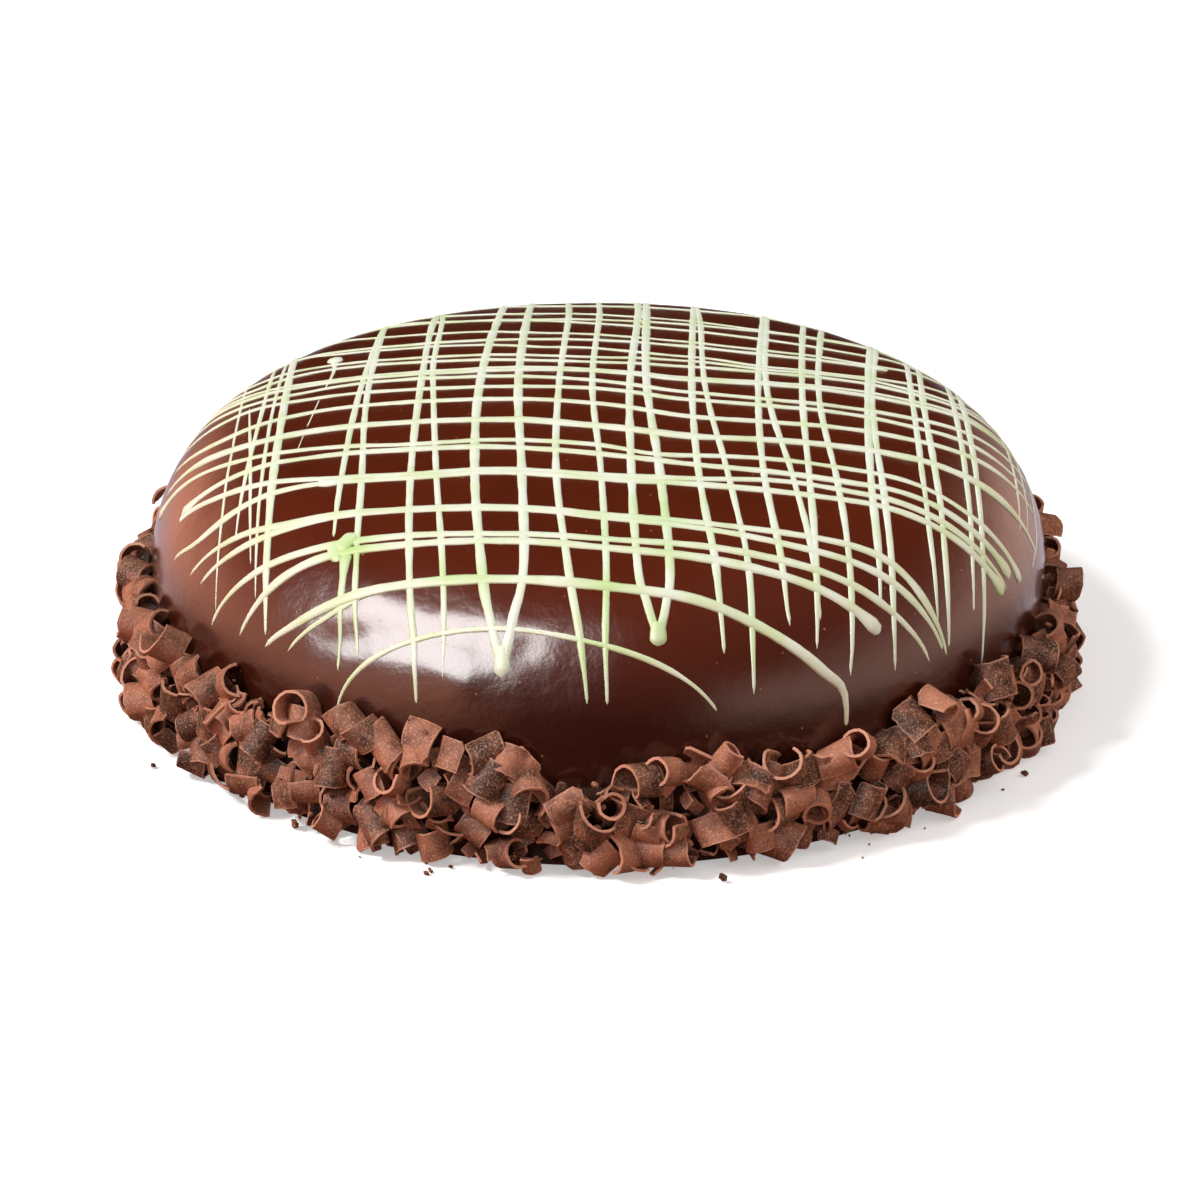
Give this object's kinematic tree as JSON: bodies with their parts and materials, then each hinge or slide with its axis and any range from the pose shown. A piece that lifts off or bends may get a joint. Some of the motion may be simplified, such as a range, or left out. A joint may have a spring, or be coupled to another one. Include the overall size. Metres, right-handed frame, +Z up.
{
  "type": "chocolate mint cake",
  "caption": "Round domed cake under dark glossy glaze, netted with mint drizzle, with a band of chocolate curls round its foot.",
  "frame": {"origin": "centre of the flat base, on the surface that the cake stands on", "axes": "+Z up through the middle of the crown, -Y towards the front with the two rounded drizzle turns, +X to the right of it"},
  "size_m": [0.2284, 0.2296, 0.0668],
  "materials": {
    "chocolate_glaze": "smooth glossy dark chocolate glaze",
    "mint_drizzle": "satin pale mint icing",
    "chocolate_curls": "rough dusty shaved chocolate"
  },
  "bodies": {
    "root": {"glazed_cake": "chocolate_glaze", "chocolate_curls": "chocolate_curls"}
  },
  "joints": []
}
